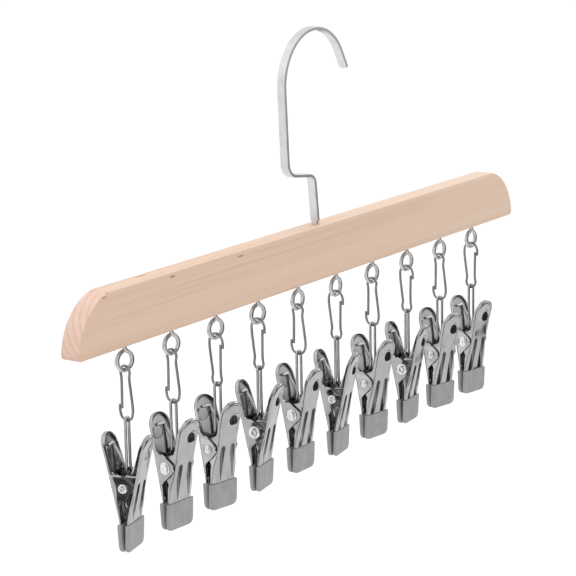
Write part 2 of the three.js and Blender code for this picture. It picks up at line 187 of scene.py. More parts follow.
# Pressings in the jaws: the oval pocket for the spring's end, two long flutes, and the handle's raised rim.
# Pairs are for the flutes' tops and for the sleeve.
POCKET_PLACE = -1.9
POCKET_HEIGHT = 13.6
POCKET_HALF = 3.1
POCKET_RISE = 2.9
POCKET_WALL = 3.2
POCKET_SLOPES = {"rear": 0.06, "front": 0.23}
FLUTE_TOP = 1.9
FLUTE_ROUND = 1.4
FLUTE_PLACE = (2.8, 3.65)
FLUTE_HALF = (1.25, 1.75)
FLUTE_DEPTH = (2.0, 0.12)
FLUTE_WALL = 0.14
RIM = 2.3
RIM_MARGIN = 0.15
RIM_START = 1.5
RIM_BLEND = 4
LIP = 0.26
LIP_RUN = 0.45
CREASE = 0.12
CREASE_WIDTH = 0.16
HANDLE_CROWN = 0.2
HANDLE_START = 3
HANDLE_BLEND = 5

# Sleeves on the jaw tips. The faces are given at the bottom and at the top, and the foot and the lip as the
# depth and the run of their rounding.
SLEEVE_TOP = -15.8
SLEEVE_BOTTOM = -27.9
SLEEVE_HALF = 8.2
SLEEVE_CORNER = 3.0
SLEEVE_INSIDE = (0.25, 0.85)
SLEEVE_OUTSIDE = (2.1, 2.75)
SLEEVE_FOOT = (0.5, 0.8)
SLEEVE_LIP = (0.07, 0.25)
SLEEVE_ROUND = 0.3
SLEEVE_PARTING = 2.6
SLEEVE_SINK = 0.13
SINK_SOFTNESS = 0.4

# Rivets, as radii and heights of the ends, with the dimple that the setting tool leaves.
RIVET = 1.2
RIVET_HEAD = 2.85
RIVET_TAIL = 2.05
RIVET_FLAT = 0.4
RIVET_DOME = 1.0
RIVET_FOOT = 0.16
RIVET_DIMPLE = 0.12


# Shader nodes.
def feed(tree, made, inputs):
    """Sets a node's inputs to values, or links them to sockets. Colours are given without alpha."""
    for key, value in inputs.items():
        socket = made.inputs[key]
        if isinstance(value, bpy.types.NodeSocket):
            tree.links.new(value, socket)
        else:
            socket.default_value = (*value, 1) if socket.type == "RGBA" else value


def node(tree, kind, inputs=None, **settings):
    """A shader node with its settings and inputs."""
    made = tree.nodes.new("ShaderNode" + kind)
    for key, value in settings.items():
        setattr(made, key, value)
    feed(tree, made, inputs or {})
    return made


def material(name):
    """A new material with its node tree and its shader."""
    made = bpy.data.materials.new(name)
    made.use_nodes = True
    shader = made.node_tree.nodes["Principled BSDF"]
    return made, made.node_tree, shader


def ramp(tree, factor, stops):
    """A colour ramp over (place, colour) stops."""
    made = node(tree, "ValToRGB", {"Fac": factor})
    elements = made.color_ramp.elements
    while len(elements) < len(stops):
        elements.new(0.5)
    for element, (place, colour) in zip(elements, stops):
        element.position = place
        element.color = (*colour, 1)
    return made.outputs["Color"]


def grey(value):
    return (value, value, value)


def shade(colour, share):
    return tuple(share * c for c in colour)


def noise(tree, vector, scale, detail, roughness, stretch=(1, 1, 1), distortion=0.0):
    """Noise over a stretched vector."""
    mapped = node(tree, "Mapping", {"Vector": vector, "Scale": stretch}).outputs["Vector"]
    settings = {"Scale": scale, "Detail": detail, "Roughness": roughness, "Distortion": distortion}
    return node(tree, "TexNoise", {"Vector": mapped, **settings}).outputs["Fac"]


def maths(tree, operation, a, b=0.0):
    return node(tree, "Math", {0: a, 1: b}, operation=operation).outputs[0]


def span(tree, value, low, high, to_low=0.0, to_high=1.0):
    """A smooth step of a value from one range to another."""
    ranges = {"From Min": low, "From Max": high, "To Min": to_low, "To Max": to_high}
    made = node(tree, "MapRange", {"Value": value, **ranges}, interpolation_type="SMOOTHSTEP")
    return made.outputs["Result"]


def mix(tree, factor, a, b):
    """A mix of two colours."""
    return node(tree, "Mix", {0: factor, 6: a, 7: b}, data_type="RGBA").outputs[2]


def mix_shaders(tree, factor, a, b):
    return node(tree, "MixShader", {0: factor, 1: a.outputs[0], 2: b.outputs[0]}).outputs[0]


def part_of(tree, vector, axis):
    """One component of a vector."""
    return node(tree, "SeparateXYZ", {0: vector}).outputs[axis]


def bump(tree, height, strength, distance):
    made = node(tree, "Bump", {"Height": height, "Strength": strength, "Distance": distance})
    return made.outputs["Normal"]


# Wood colours. The base goes over three stops of a broad noise.
WOOD_STOPS = [(0.30, (0.82, 0.55, 0.385)), (0.47, (0.88, 0.635, 0.475)), (0.70, (0.91, 0.69, 0.53))]
STREAK_COLOUR = (0.74, 0.465, 0.29)
CLOUD_COLOUR = (0.92, 0.655, 0.505)
FIBRE_COLOUR = (0.63, 0.42, 0.27)
# The next colour is painted light, laid over the bar towards +X.
PAINTED_LIGHT_COLOUR = (0.90, 0.70, 0.55)
END_COLOUR = (0.96, 0.665, 0.545)
RING_COLOUR = (0.68, 0.40, 0.29)
FLECK_COLOUR = (0.42, 0.18, 0.10)
# Middle of the growth rings in metres, in front of the bar and above it.
PITH = Vector((0, -0.035, -0.0786))
# Small dark marks in the wood: centre and half sizes in millimetres.
FLECKS = [
    ((-114.0, -4.75, -90.7), (2.6, 1.2, 0.75)),
    ((-65.4, -4.75, -91.1), (3.2, 1.2, 0.65)),
    ((-159.0, -4.75, -90.6), (2.0, 0.9, 0.5)),
    ((-157.0, -4.4, -89.3), (0.55, 0.8, 1.0)),
    ((-126.5, 1.9, -88.8), (5.0, 0.65, 0.6)),
]


def growth_rings(tree, place):
    pith = node(tree, "Mapping", {"Vector": place, "Location": -PITH, "Scale": (0.15, 1, 1)})
    return node(
        tree,
        "TexWave",
        {"Vector": pith.outputs["Vector"], "Scale": 104, "Distortion": 1.3, "Detail": 3, "Detail Scale": 2.5},
        wave_type="RINGS",
        rings_direction="X",
        wave_profile="SAW",
    ).outputs["Fac"]


def wood_material():
    """Pale planed hardwood: long soft streaks, fine fibres, rings on the end grain and a few dark flecks."""
    made, tree, shader = material("pale_wood")
    coordinates = node(tree, "TexCoord")
    place = coordinates.outputs["Object"]
    broad = noise(tree, place, 1, 5, 0.62, (2.6, 70, 105), 0.25)
    narrow = noise(tree, place, 1, 4, 0.62, (4.5, 300, 400), 0.15)
    fibre = noise(tree, place, 1, 3, 0.6, (38, 1500, 1900))
    cloud = noise(tree, place, 1, 2, 0.5, (7, 22, 30))
    colour = ramp(tree, broad, WOOD_STOPS)
    streak = span(tree, narrow, 0.48, 0.66)
    colour = mix(tree, maths(tree, "MULTIPLY", streak, 0.62), colour, STREAK_COLOUR)
    colour = mix(tree, span(tree, cloud, 0.35, 0.7, 0.0, 0.45), colour, CLOUD_COLOUR)
    colour = mix(tree, span(tree, fibre, 0.54, 0.74, 0.0, 0.20), colour, FIBRE_COLOUR)
    # Painted light: the bar is painted a little paler towards +X, where light from that side falls on it.
    along = span(tree, part_of(tree, place, "X"), -0.15, 0.15, 0.0, 0.5)
    colour = mix(tree, along, colour, PAINTED_LIGHT_COLOUR)
    # Growth rings show as lines across the end grain.
    across = maths(tree, "ABSOLUTE", part_of(tree, coordinates.outputs["Normal"], "X"))
    end = span(tree, across, 0.12, 0.42)
    ring_line = maths(tree, "MULTIPLY", span(tree, growth_rings(tree, place), 0.55, 1.0, 0.0, 0.42), end)
    colour = mix(tree, maths(tree, "MULTIPLY", end, 0.6), colour, END_COLOUR)
    colour = mix(tree, ring_line, colour, RING_COLOUR)
    for centre, half in FLECKS:
        inverse = [1 / (h * MM) for h in half]
        local = node(tree, "VectorMath", {0: place, 1: [c * MM for c in centre]}, operation="SUBTRACT")
        scaled = node(tree, "VectorMath", {0: local.outputs[0], 1: inverse}, operation="MULTIPLY")
        away = node(tree, "VectorMath", {0: scaled.outputs[0]}, operation="LENGTH").outputs["Value"]
        colour = mix(tree, span(tree, away, 0.35, 1.0, 0.75, 0.0), colour, FLECK_COLOUR)
    height = maths(tree, "ADD", fibre, maths(tree, "MULTIPLY", narrow, 0.8))
    feed(tree, shader, {
        "Base Color": colour,
        "Roughness": span(tree, narrow, 0.3, 0.7, 0.42, 0.56),
        "Specular IOR Level": 0.5,
        "Normal": bump(tree, height, 0.18, 0.00025),
    })
    return made


def steel_material(name, dark, light, rough, brush, brush_depth, specks_share=0.36, edge=0.0):
    """Steel with brushing along its own length, cloudy tone, small wear and, on a strip, painted shade on the
    edges that face sideways.
    """
    made, tree, shader = material(name)
    coordinates = node(tree, "TexCoord")
    strokes = noise(tree, coordinates.outputs["UV"], 1, 4, 0.6, brush)
    cloud = noise(tree, coordinates.outputs["Object"], 160, 3, 0.5)
    specks = noise(tree, coordinates.outputs["Object"], 1700, 2, 0.5)
    tone = mix(tree, span(tree, cloud, 0.3, 0.7), dark, light)
    tone = mix(tree, span(tree, strokes, 0.56, 0.80, 0.0, 0.30), tone, shade(dark, 0.72))
    tone = mix(tree, span(tree, specks, 0.64, 0.74, 0.0, specks_share), tone, shade(dark, 0.55))
    # Painted shade: faces turned towards ±Y, the strip's narrow edges, are painted darker by the share in
    # edge.
    if edge:
        painted_edge_shade_mask = maths(tree, "ABSOLUTE", part_of(tree, coordinates.outputs["Normal"], "Y"))
        tone = mix(tree, span(tree, painted_edge_shade_mask, 0.6, 0.95, 0.0, edge), tone, shade(dark, 0.35))
    brushed = span(tree, strokes, 0.3, 0.7, -0.05, 0.06)
    feed(tree, shader, {
        "Base Color": tone,
        "Roughness": maths(tree, "ADD", brushed, span(tree, cloud, 0.3, 0.7, rough, rough * 1.25)),
        "Metallic": 1.0,
        "Normal": bump(tree, strokes, brush_depth, 0.0001),
    })
    return made


def sleeve_material():
    """Soft grey vinyl: matt, faintly mottled, with fine flow lines."""
    made, tree, shader = material("grey_vinyl")
    place = node(tree, "TexCoord").outputs["Object"]
    cloud = noise(tree, place, 260, 3, 0.55)
    flow = noise(tree, place, 1, 2, 0.5, (330, 330, 45))
    grain = noise(tree, place, 3800, 2, 0.5)
    tone = mix(tree, span(tree, cloud, 0.3, 0.7), grey(0.37), grey(0.43))
    feed(tree, shader, {
        "Base Color": mix(tree, span(tree, flow, 0.42, 0.70, 0.0, 0.4), tone, grey(0.50)),
        "Roughness": span(tree, cloud, 0.3, 0.7, 0.42, 0.55),
        "Specular IOR Level": 0.4,
        "Normal": bump(tree, maths(tree, "ADD", grain, flow), 0.12, 0.0001),
    })
    return made


WIRE_BRUSH = (30, 1200, 1)
CLIP_DARK = (0.375, 0.374, 0.374)
WOOD = wood_material()
# The hook strip's narrow edges get painted shade.
STRIP_STEEL = steel_material("hook_satin_steel", grey(0.63), grey(0.72), 0.34, (14, 2600, 1), 0.10, edge=0.52)
WIRE_STEEL = steel_material("wire_steel", grey(0.44), grey(0.53), 0.20, WIRE_BRUSH, 0.06)
EYE_STEEL = steel_material("eye_steel", grey(0.56), grey(0.66), 0.30, WIRE_BRUSH, 0.06)
LINK_STEEL = steel_material("link_steel", grey(0.26), grey(0.32), 0.34, WIRE_BRUSH, 0.08)
CLIP_STEEL = steel_material("clip_steel", CLIP_DARK, grey(0.43), 0.10, (1600, 60, 1), 0.04, specks_share=0.18)
# Painted light: the spring's legs are the same wire as its bail, painted lighter for the light they catch.
PAINTED_LIGHT_LEG_STEEL = steel_material("leg_steel_painted_light", grey(0.70), grey(0.80), 0.40, WIRE_BRUSH, 0.06)
RIVET_STEEL = steel_material("rivet_steel", grey(0.66), grey(0.76), 0.22, (400, 400, 1), 0.06)
VINYL = sleeve_material()


# Numbers and lines.
def between(a, b, share):
    """A value that lies a share of the way from a to b."""
    return a + (b - a) * share


def limited(x):
    return min(max(x, 0.0), 1.0)


def smooth_step(x):
    x = limited(x)
    return x * x * (3 - 2 * x)


def spoke(angle, radius):
    """A point on a circle, at an angle in radians."""
    return np.array([radius * cos(angle), radius * sin(angle)])


def unit(vectors):
    """A vector, or rows of vectors, at length one."""
    return vectors / np.linalg.norm(vectors, axis=-1, keepdims=True)


def directions(path):
    """Unit directions along a path at its points."""
    path = np.asarray(path, float)
    return unit(np.vstack([path[1:], path[-1:]]) - np.vstack([path[:1], path[:-1]]))


def run_lengths(points):
    """How far along a line of points each one lies."""
    steps = np.linalg.norm(np.diff(np.asarray(points, float), axis=0), axis=1)
    return np.concatenate([[0], np.cumsum(steps)])


def carried(path, first):
    """Directions along a path, and a normal carried along it without twist."""
    along = directions(path)
    normals = []
    normal = np.asarray(first, float)
    for t in along:
        normal = unit(normal - t * (normal @ t))
        normals.append(normal)
    return along, np.array(normals)


def curve_through(points, steps):
    """A smooth line through points, with knots spaced by the square root of their distance."""
    p = np.asarray(points, float)
    p = np.vstack([2 * p[0] - p[1], p, 2 * p[-1] - p[-2]])
    line = []
    for i in range(1, len(p) - 2):
        knots = [0.0]
        for a, b in ((i - 1, i), (i, i + 1), (i + 1, i + 2)):
            knots.append(knots[-1] + max(np.linalg.norm(p[b] - p[a]), 1e-6) ** 0.5)
        t0, t1, t2, t3 = knots
        last = i == len(p) - 3
        for t in np.linspace(t1, t2, steps, endpoint=False).tolist() + ([t2] if last else []):
            a1 = (t1 - t) / (t1 - t0) * p[i - 1] + (t - t0) / (t1 - t0) * p[i]
            a2 = (t2 - t) / (t2 - t1) * p[i] + (t - t1) / (t2 - t1) * p[i + 1]
            a3 = (t3 - t) / (t3 - t2) * p[i + 1] + (t - t2) / (t3 - t2) * p[i + 2]
            b1 = (t2 - t) / (t2 - t0) * a1 + (t - t0) / (t2 - t0) * a2
            b2 = (t3 - t) / (t3 - t1) * a2 + (t - t1) / (t3 - t1) * a3
            line.append((t2 - t) / (t2 - t1) * b1 + (t - t1) / (t2 - t1) * b2)
    return np.array(line)


# Mesh helpers. Points are in millimetres until an object is made.
def add_object(name, data):
    made = bpy.data.objects.new(name, data)
    bpy.context.scene.collection.objects.link(made)
    return made


def smooth(mesh, sharp):
    """Smooth shading, apart from edges sharper than an angle in degrees where one is given."""
    mesh.polygons.foreach_set("use_smooth", [True] * len(mesh.polygons))
    if sharp:
        mesh.set_sharp_from_angle(angle=rad(sharp))


def build(name, points, faces, finish, uvs=None, sharp=None):
    """An object from points in millimetres."""
    mesh = bpy.data.meshes.new(name)
    mesh.from_pydata((np.asarray(points, float) * MM).tolist(), [], faces)
    if uvs is not None:
        layer = mesh.uv_layers.new(name="UVMap")
        layer.data.foreach_set("uv", np.asarray(uvs, np.float32).ravel())
    mesh.validate()
    smooth(mesh, sharp)
    mesh.materials.append(finish)
    return add_object(name, mesh)


def apply_modifiers(made):
    """Puts the result of an object's modifiers into its mesh."""
    bpy.context.view_layer.update()
    evaluated = made.evaluated_get(bpy.context.evaluated_depsgraph_get())
    mesh = bpy.data.meshes.new_from_object(evaluated)
    made.modifiers.clear()
    made.data = mesh


def cut(made, *tools):
    """Takes tool solids out of an object and deletes them."""
    for tool in tools:
        modifier = made.modifiers.new("cut", "BOOLEAN")
        modifier.operation = "DIFFERENCE"
        modifier.solver = "EXACT"
        modifier.object = tool
        apply_modifiers(made)
        bpy.data.objects.remove(tool)


def ring_faces(rings, sides):
    """Faces between rings of equal count, and one face across each end."""
    faces = []
    for i in range(rings - 1):
        for j in range(sides):
            k = (j + 1) % sides
            faces.append((i * sides + j, i * sides + k, (i + 1) * sides + k, (i + 1) * sides + j))
    faces.append(tuple(range(sides - 1, -1, -1)))
    faces.append(tuple(range((rings - 1) * sides, rings * sides)))
    return faces


def skin(name, points, lengths, girth, finish, sharp):
    """A closed piece from rings of points, with UVs in metres along it and round it."""
    sides = len(points) // len(lengths)
    faces = ring_faces(len(lengths), sides)
    uvs = []
    for face in faces:
        for corner in face:
            ring, side = divmod(corner, sides)
            uvs.append((lengths[ring] * MM, girth * MM * side / sides))
    return build(name, points, faces, finish, uvs, sharp)


# Ends of a wire, as shares of its radius by which rings stand out there.
DOME = (0.98, 0.86, 0.62, 0.32)
CUT = (0.22, 0.14, 0.0)


def end_share(c, cap):
    """Share of the wire's radius at a place on its end."""
    return sqrt(1 - c * c) if cap == DOME else 1 - c


def tube(name, path, wire, finish, sides, first, cap=DOME):
    """A round wire along a path, with its ends rounded over."""
    along, normals = carried(path, first)
    radius = wire / 2
    last = len(path) - 1
    stations = [(path[0] - along[0] * radius * c, radius * end_share(c, cap), 0) for c in cap]
    stations += [(point, radius, i) for i, point in enumerate(path)]
    stations += [(path[-1] + along[-1] * radius * c, radius * end_share(c, cap), last) for c in reversed(cap)]
    points = []
    for place, r, i in stations:
        side = np.cross(along[i], normals[i])
        for a in np.arange(sides) * 2 * pi / sides:
            points.append(place + r * (cos(a) * normals[i] + sin(a) * side))
    return skin(name, points, run_lengths([station[0] for station in stations]), pi * wire, finish, 50)


def lathe(name, profile, finish, sides=40, axis="z"):
    """A turned piece from (radius, place) points, round Z or X."""
    points = []
    for radius, place in profile:
        for j in range(sides):
            a, b = spoke(2 * pi * j / sides, radius)
            points.append((a, b, place) if axis == "z" else (place, a, b))
    girth = 6
    return skin(name, points, run_lengths(profile), girth, finish, 40)


def turned_ring(name, profile, finish, sides=40):
    """A ring round Z from a closed profile of (radius, height) points."""
    points, faces = [], []
    count = len(profile)
    for j in range(sides):
        points += [(*spoke(2 * pi * j / sides, radius), z) for radius, z in profile]
        a, b = j * count, (j + 1) % sides * count
        for k in range(count):
            after = (k + 1) % count
            faces.append((a + k, b + k, b + after, a + after))
    return build(name, points, faces, finish, [(0, 0)] * (4 * len(faces)), 40)


def rod(name, radius, low, high, x=0.0, sides=32):
    """An upright rod, used as a tool."""
    made = lathe(name, [(radius, low), (radius, high)], WOOD, sides)
    made.data.transform(Matrix.Translation((x * MM, 0, 0)))
    return made


def put(made, matrix, body, slot, *nodes):
    """Places a piece, makes it ride on a body, and hides the imported nodes that it stands for. The slot
    argument is not used.
    """
    made.data.transform(matrix)
    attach(made, body)
    if nodes:
        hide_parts(*nodes)


def shifted(x, z, turn=0.0):
    return Matrix.Translation((x * MM, 0, z * MM)) @ Matrix.Rotation(rad(turn), 4, "Z")


def twin(original, name):
    """A copy of a form, with its own mesh."""
    return add_object(name, original.data.copy())


def unit_place(i):
    """Where a hanging unit is along the bar."""
    return (i - (UNITS - 1) / 2) * PITCH


# Bar.
def inset_loop(loop, distance):
    """A closed convex loop of (x, z) points drawn in by a distance."""
    p = np.asarray(loop, float)
    edge = unit(np.roll(p, -1, 0) - p)
    inward = np.c_[-edge[:, 1], edge[:, 0]]
    before = np.roll(inward, 1, 0)
    middle = (inward + before) / (1 + np.sum(inward * before, axis=1))[:, None]
    return p + distance * middle


def bar_outline():
    """Outline of the bar in (x, z), with its top at zero."""
    half = BAR_LENGTH / 2
    radius = BAR_HEIGHT + END_OVERSHOOT
    top = asin(BAR_HEIGHT / radius)
    eased = top - SHOULDER_ANGLE

    def on_end(a):
        return spoke(a, radius) + (half - radius, -BAR_HEIGHT)

    corner = (half - END_CORNER, END_CORNER - BAR_HEIGHT)
    right = [spoke(a, END_CORNER) + corner for a in np.linspace(-pi / 2, 0, 6)]
    right += [on_end(a) for a in np.linspace(asin(END_CORNER / radius), eased, 48)]
    knee = np.array([on_end(top)[0], 0.0])
    end = knee - (SHOULDER_RUN, 0)
    for t in np.linspace(0, 1, 6)[1:]:
        right.append((1 - t) ** 2 * on_end(eased) + 2 * t * (1 - t) * knee + t * t * end)
    top_margin, foot_margin = 10, 12
    right += [(x, 0.0) for x in np.linspace(knee[0] - top_margin, 0, 14)]
    left = [(-x, z) for x, z in reversed(right) if abs(x) > 1e-6]
    bottom = [(x, -BAR_HEIGHT) for x in np.linspace(-half + foot_margin, half - foot_margin, 26)]
    return right + left + bottom


def bar_piece():
    loop = bar_outline()
    half = BAR_THICKNESS / 2
    rings = []
    for a in np.linspace(0, pi / 2, 6):
        rings.append((-half + BAR_EASE * (1 - cos(a)), BAR_EASE * (1 - sin(a))))
    rings = rings + [(-y, inset) for y, inset in reversed(rings)]
    points = []
    for y, inset in rings:
        points += [(x, y, z - SEAT) for x, z in inset_loop(loop, inset)]
    made = build("bar_wood", points, ring_faces(len(rings), len(loop)), WOOD)
    past = 2
    low = UNDER - past
    tools = [
        rod("bore", BORE, low, -SEAT + past),
        rod("counterbore", COUNTERBORE, low, UNDER + COUNTERBORE_DEPTH, sides=40),
    ]
    for i in range(UNITS):
        tools.append(rod("pilot", EYE_WIRE / 2 + FIT, low, UNDER + EYE_THREAD + FIT, unit_place(i), 20))
    cut(made, *tools)
    smooth(made.data, 50)
    weighted = made.modifiers.new("weighted", "WEIGHTED_NORMAL")
    weighted.keep_sharp = True
    weighted.weight = 90
    apply_modifiers(made)
    put(made, Matrix.Identity(4), "bar", "wood", "bar")


# Hook.
def bend(before, corner, after, radius, steps=18):
    """Points of a round bend at a corner."""
    to_before, to_after = unit(before - corner), unit(after - corner)
    half = acos(float(to_before @ to_after)) / 2
    centre = corner + unit(to_before + to_after) * radius / sin(half)
    start = corner + to_before * radius / tan(half) - centre
    end = corner + to_after * radius / tan(half) - centre
    across = np.array([-start[1], start[0]])
    angles = np.linspace(0, atan2(across @ end, start @ end), steps + 1)
    return [centre + start * cos(a) + across * sin(a) for a in angles]


def hook_line():
    """Centre line of the strip in (x, z), with the top of the bar at zero, evenly divided."""
    lean, end = rad(LONG_LEAN), rad(CROWN_END)
    foot = np.array([-STRIP_FOOT * tan(rad(STEM_LEAN)), STRIP_FOOT])
    stem = np.array([-STEM_RISE * tan(rad(STEM_LEAN)), STEM_RISE])
    jog = stem + (-JOG_REACH, JOG_RISE)
    run = jog + (-LONG_RUN * tan(lean), LONG_RUN)
    points = [foot] + bend(foot, stem, jog, STEM_BEND) + bend(stem, jog, run, JOG_BEND)
    centre = run + spoke(lean, CROWN_RADIUS)
    points += [centre + spoke(a, CROWN_RADIUS) for a in np.linspace(pi + lean, end, 72)]
    points.append(points[-1] + spoke(end - pi / 2, TIP_LENGTH))
    points = np.array(points)
    along = run_lengths(points)
    even = np.linspace(0, along[-1], 240)
    return np.c_[np.interp(even, along, points[:, 0]), np.interp(even, along, points[:, 1])]


def strip_section(half_thick, half_wide, corner, steps=6):
    """Rounded rectangle as (thickness, width) offsets, with points that keep its flats flat."""
    section = []
    beside = 0.12
    for cx, cy, start in ((1, 1, 0), (-1, 1, 90), (-1, -1, 180), (1, -1, 270)):
        centre = (cx * (half_thick - corner), cy * (half_wide - corner))
        arc = [spoke(rad(a), corner) + centre for a in np.linspace(start, start + 90, steps)]
        lead, trail = (spoke(rad(start + turn), beside) for turn in (-90, 180))
        section += [arc[0] + lead, *arc, arc[-1] + trail]
    return section


def strip_stations(path, along):
    """Places along the strip, each with its index on the path and how far the round ends draw the sides in."""
    shares = np.linspace(0, 1, 7)
    insets = [STRIP_END * (1 - sqrt(1 - (1 - share) ** 2)) for share in shares]
    last = len(path) - 1
    first_end = [(path[0] + along[0] * STRIP_END * s, 0, d) for s, d in zip(shares, insets)]
    last_end = [(path[-1] - along[-1] * STRIP_END * s, last, d) for s, d in zip(shares, insets)]
    clear = STRIP_END + 0.1
    middle = []
    for i, p in enumerate(path):
        if np.linalg.norm(p - path[0]) > clear and np.linalg.norm(p - path[-1]) > clear:
            middle.append((p, i, 0.0))
    return first_end + middle + last_end[::-1]


def strip_piece():
    line = hook_line()
    path = np.c_[line[:, 0], np.zeros(len(line)), line[:, 1] - SEAT]
    along, normals = carried(path, (1, 0, 0))
    section = strip_section(STRIP_THICKNESS / 2, STRIP_WIDTH / 2, STRIP_EDGE)
    stations = strip_stations(path, along)
    points = []
    for place, i, inset in stations:
        side = np.cross(along[i], normals[i]) * (1 - inset / (STRIP_WIDTH / 2))
        points += [place + normals[i] * a + side * b for a, b in section]
    girth = 2 * (STRIP_WIDTH + STRIP_THICKNESS)
    lengths = run_lengths([station[0] for station in stations])
    made = skin("hook_strip", points, lengths, girth, STRIP_STEEL, 50)
    put(made, Matrix.Identity(4), "hook", "hook_steel", "hook")


def swivel_pieces():
    """The hook's shank, which is headed below the washer, and the washer in the bar."""
    washer_low = WASHER_TOP - WASHER_THICKNESS
    head_top = washer_low - FIT
    head_low = head_top - HEAD_THICKNESS
    profile = [
        (0.6, head_low), (HEAD - 0.7, head_low + 0.05), (HEAD - 0.2, head_low + 0.35), (HEAD, head_low + 0.8),
        (HEAD, head_top - 0.15), (HEAD - 0.15, head_top), (SHANK, head_top), (SHANK, STRIP_FOOT + 0.1),
        (SHANK - 0.4, STRIP_FOOT + 0.5), (0.4, STRIP_FOOT + 0.6),
    ]
    put(lathe("hook_shank", profile, RIVET_STEEL), shifted(0, -SEAT), "hook", "hook_steel", "hook")
    inner, outer = WASHER_HOLE + WASHER_EDGE, WASHER - WASHER_EDGE
    low, high = washer_low + WASHER_EDGE, WASHER_TOP - WASHER_EDGE
    profile = [
        (WASHER_HOLE, low), (inner, washer_low), (outer, washer_low), (WASHER, low),
        (WASHER, high), (outer, WASHER_TOP), (inner, WASHER_TOP), (WASHER_HOLE, high),
    ]
    washer = turned_ring("washer_ring", profile, EYE_STEEL)
    put(washer, shifted(0, -SEAT), "bar", "hook_steel", "hook_washer")


# Hanging wires.
def eye_form():
    """Screw eye: the wire leaves the wood, runs round the ring and ends against its own neck."""
    line = [(0, EYE_THREAD - EYE_POINT), *EYE_NECK]
    line += [spoke(rad(a), EYE_RADIUS) - (0, EYE_DROP) for a in np.linspace(*EYE_ARC, 26)]
    path = curve_through([(x, 0, z) for x, z in line], 5)
    return tube("eye_form", path, EYE_WIRE, EYE_STEEL, 18, (0, 1, 0), CUT)


def link_form(turned_over):
    """Snap link from its catch round to its gate, with the wide end down or turned over."""
    wide, narrow, waist = LINK_WIDE / 2, LINK_NARROW / 2, LINK_WAIST / 2
    gate = wide - LINK_WIRE - LATCH_GAP
    shoulder = LINK_SPAN - narrow
    d = sqrt(0.5)
    corners = [
        (wide, GATE_RISE + CATCH_OVERLAP), (wide, wide), (wide * d, wide * (1 - d)), (0, 0),
        (-wide * d, wide * (1 - d)), (-wide, wide), (-(wide + waist) / 2, (wide + shoulder) / 2),
        (-waist, shoulder - narrow), (-narrow, shoulder), (-narrow * d, LINK_SPAN - narrow * (1 - d)),
        (0, LINK_SPAN), (narrow * d, LINK_SPAN - narrow * (1 - d)), (narrow, shoulder),
        (waist, shoulder - narrow), (gate, GATE_RISE),
    ]
    line = curve_through([(0, y, z) for y, z in corners], 9)
    if turned_over:
        line = line * (1, -1, -1) + (0, 0, LINK_SPAN)
    return tube("link_form", line + (0, 0, LINK_BOTTOM), LINK_WIRE, LINK_STEEL, 12, (1, 0, 0), CUT)


# Jaws. The rear one is built with its face towards +Y, and the front one is turned half round.
def spline_through(points, count):
    """Evenly counted points of a smooth line through points."""
    p = np.asarray(points, float)
    line = []
    last = len(p) - 1
    for t in np.linspace(0, last, count):
        i = min(int(t), last - 1)
        w = t - i
        p0, p1, p2, p3 = p[max(i - 1, 0)], p[i], p[i + 1], p[min(i + 2, last)]
        m1, m2 = (p2 - p0) / 2, (p3 - p1) / 2
        cubic = (2 * p1 - 2 * p2 + m1 + m2) * w**3
        line.append(cubic + (-3 * p1 + 3 * p2 - 2 * m1 - m2) * w**2 + m1 * w + p1)
    return np.array(line)


FACE = spline_through(FACE_POINTS, 240)


def face_at(height):
    """How far the outer face lies from the rivet's axis at a height."""
    return float(np.interp(height, FACE[:, 1], FACE[:, 0]))


def softened(heights, values, width):
    """A line of (heights, values) through the given ones, rounded off over a width."""
    margin = 4
    fine = np.linspace(min(heights) - margin, max(heights) + margin, 1200)
    line = np.interp(fine, heights, values)
    step = fine[1] - fine[0]
    kernel = np.hanning(max(3, int(2 * width / step) | 1))
    kernel = kernel / kernel.sum()
    pad = len(kernel) // 2
    return fine, np.convolve(np.pad(line, pad, mode="edge"), kernel, mode="valid")


def value_at(line, height):
    return float(np.interp(height, *line))


def side_line(kind):
    """Half width of a jaw by height."""
    heights = [BELOW_JAW, SLEEVE_TOP, FLARE_LOW, FLARE_TOP, SHOULDER_RISE, ROUND_PLACE]
    halves = [TIP_HALF, TIP_HALF, FLARE_HALF, JAW_HALF[kind], JAW_HALF[kind], HANDLE_HALF]
    return softened(heights, halves, SIDE_SOFTNESS)


def plain_flange(h):
    """Depth of the flange behind the face at a height, apart from the ears."""
    return between(TIP_FLANGE, FLANGE, limited((h - SLEEVE_TOP) / (FLARE_LOW - SLEEVE_TOP)))


def ear_line(kind):
    """Edge of a jaw's ears by height: kites on the rear jaw and round ears on the front one."""
    low = face_at(-EAR_DROP) - plain_flange(-EAR_DROP)
    top = EAR_TOPS[kind]
    knee = top - EAR_SLOPE
    ear = [(knee - EAR_BLUNT, -EAR_REACH), (knee, -EAR_REACH)] if kind == "rear" else INNER_EAR
    edge = [(BELOW_JAW, low), (-EAR_DROP, low), *ear, (top, face_at(top) - FLANGE), (ABOVE_JAW, face_at(top))]
    return softened(*zip(*edge), EAR_SOFTNESS)


SIDES = {kind: side_line(kind) for kind in ("rear", "front")}
EARS = {kind: ear_line(kind) for kind in ("rear", "front")}


def flange_depth(kind, h):
    """How deep the flange reaches behind the face at a height. Ears stand on the flanges."""
    if -EAR_DROP - EAR_BLEND < h < EAR_TOPS[kind] + EAR_BLEND:
        return max(plain_flange(h), face_at(h) - value_at(EARS[kind], h))
    return plain_flange(h)


def in_pocket(kind, u, h):
    """How far the oval pocket for the spring's end is pushed in at a place. Its floor stands upright."""
    away = hypot((u - POCKET_PLACE) / POCKET_HALF, (h - POCKET_HEIGHT) / POCKET_RISE)
    floor = POCKET_SLOPES[kind] * (h - POCKET_HEIGHT + POCKET_RISE)
    return max(min(floor, POCKET_WALL * (1 - away)), 0.0)


def flute_share(h):
    """Zero at the flutes' tops and one where they reach the sleeves."""
    return limited((FLUTE_TOP - h) / (FLUTE_TOP - SLEEVE_TOP))


